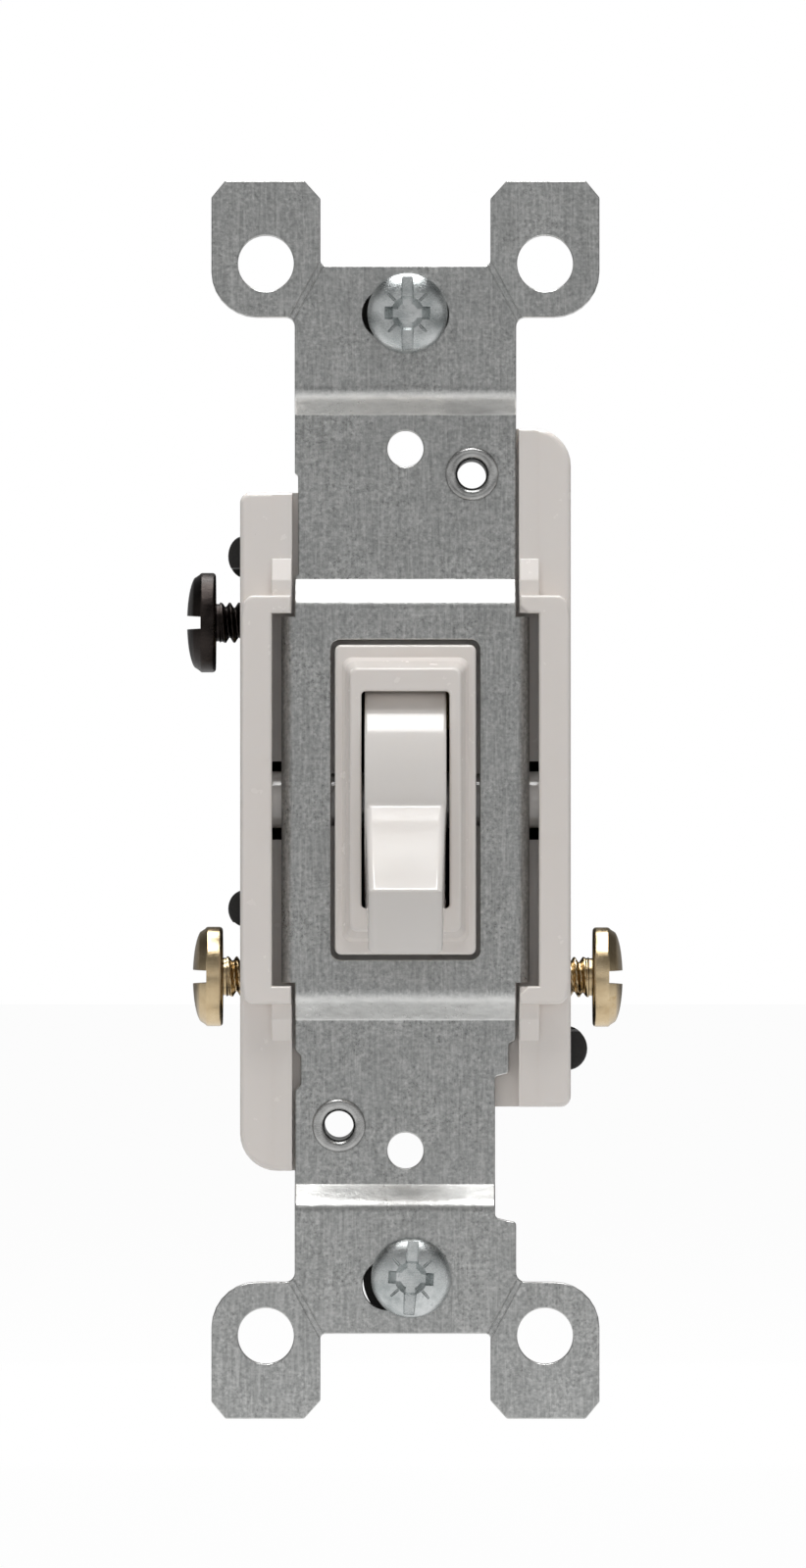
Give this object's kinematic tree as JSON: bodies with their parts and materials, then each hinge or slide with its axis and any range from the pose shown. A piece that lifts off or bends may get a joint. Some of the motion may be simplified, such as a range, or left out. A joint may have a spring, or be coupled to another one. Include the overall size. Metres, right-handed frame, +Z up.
{
  "type": "toggle wall switch",
  "caption": "Residential three-way toggle wall switch on a galvanised steel mounting strap, with side terminal screws, push-in wire holes and a tipping handle.",
  "frame": {"origin": "centre of the dark base's flat back face, on the switch's centreline; the wall plane (back of the ears) is 25 mm in front of it, at y = -0.025", "axes": "+Z up along the strap, +X to the right seen from the front, +Y backwards into the wall box; the handle points along -Y"},
  "size_m": [0.0377, 0.0442, 0.1062],
  "materials": {
    "white_moulding": "moulded, satin-gloss",
    "dark_moulding": "moulded thermoset, satin",
    "galvanised_steel": "galvanised sheet, dull",
    "bright_zinc": "bright zinc plate",
    "brass": "bright brass",
    "black_oxide": "dark oxide on steel",
    "spring_steel": "spring steel",
    "contact_silver": "silver contact",
    "fibre": "black fibre washer"
  },
  "bodies": {
    "housing": {"strap": "galvanised_steel", "front_frame": "white_moulding", "rear_base": "dark_moulding", "common_terminal": "brass", "traveller_terminal_left": "brass", "traveller_terminal_right": "brass", "fixed_contact_upper": "contact_silver", "fixed_contact_lower": "contact_silver", "wire_clip_common": "spring_steel", "wire_clip_left": "spring_steel", "wire_clip_right": "spring_steel", "eyelet_upper": "bright_zinc", "eyelet_lower": "bright_zinc"},
    "toggle": {"toggle_lever": "white_moulding", "plunger_spring": "spring_steel"},
    "plunger": {"plunger": "spring_steel"},
    "rocker": {"rocker_arm": "brass", "moving_contact_upper": "contact_silver", "moving_contact_lower": "contact_silver"},
    "common_screw": {"common_screw": "black_oxide"},
    "traveller_screw_left": {"traveller_screw_left": "brass"},
    "traveller_screw_right": {"traveller_screw_right": "brass"},
    "retainer_upper": {"screw_retainer_upper": "fibre"},
    "retainer_lower": {"screw_retainer_lower": "fibre"},
    "mounting_screw_upper": {"mounting_screw_upper": "bright_zinc"},
    "mounting_screw_lower": {"mounting_screw_lower": "bright_zinc"}
  },
  "joints": [
    {"name": "toggle_pivot", "type": "hinge", "parent": "housing", "child": "toggle", "pos_m": [0, -0.0215, 0], "axis": [-1, 0, 0], "range_deg": [0, 52]},
    {"name": "plunger_slide", "type": "slide", "parent": "toggle", "child": "plunger", "axis": [0, -0.8988, -0.4384], "range_m": [0, 0.0004], "deforming": ["plunger_spring"]},
    {"name": "rocker_pivot", "type": "hinge", "parent": "housing", "child": "rocker", "pos_m": [0, -0.00755, 0], "axis": [1, 0, 0], "range_deg": [0, 10]},
    {"name": "common_screw_travel", "type": "slide", "parent": "housing", "child": "common_screw", "axis": [-1, 0, 0], "range_m": [-0.001, 0.0015]},
    {"name": "traveller_screw_left_travel", "type": "slide", "parent": "housing", "child": "traveller_screw_left", "axis": [-1, 0, 0], "range_m": [-0.001, 0.0015]},
    {"name": "traveller_screw_right_travel", "type": "slide", "parent": "housing", "child": "traveller_screw_right", "axis": [1, 0, 0], "range_m": [-0.001, 0.0015]},
    {"name": "upper_slot_slide", "type": "slide", "parent": "housing", "child": "retainer_upper", "axis": [1, 0, 0], "range_m": [-0.002, 0.0017]},
    {"name": "lower_slot_slide", "type": "slide", "parent": "housing", "child": "retainer_lower", "axis": [1, 0, 0], "range_m": [-0.002, 0.001]},
    {"name": "mounting_screw_upper_turn", "type": "hinge", "parent": "retainer_upper", "child": "mounting_screw_upper", "pos_m": [0.00017, -0.025, 0.04175], "axis": [0, 1, 0], "continuous": true},
    {"name": "mounting_screw_lower_turn", "type": "hinge", "parent": "retainer_lower", "child": "mounting_screw_lower", "pos_m": [0.00048, -0.025, -0.04104], "axis": [0, 1, 0], "continuous": true}
  ],
  "couplings": [
    {"joint": "rocker_pivot", "follows": "toggle_pivot", "ratio": 0.1923}
  ]
}
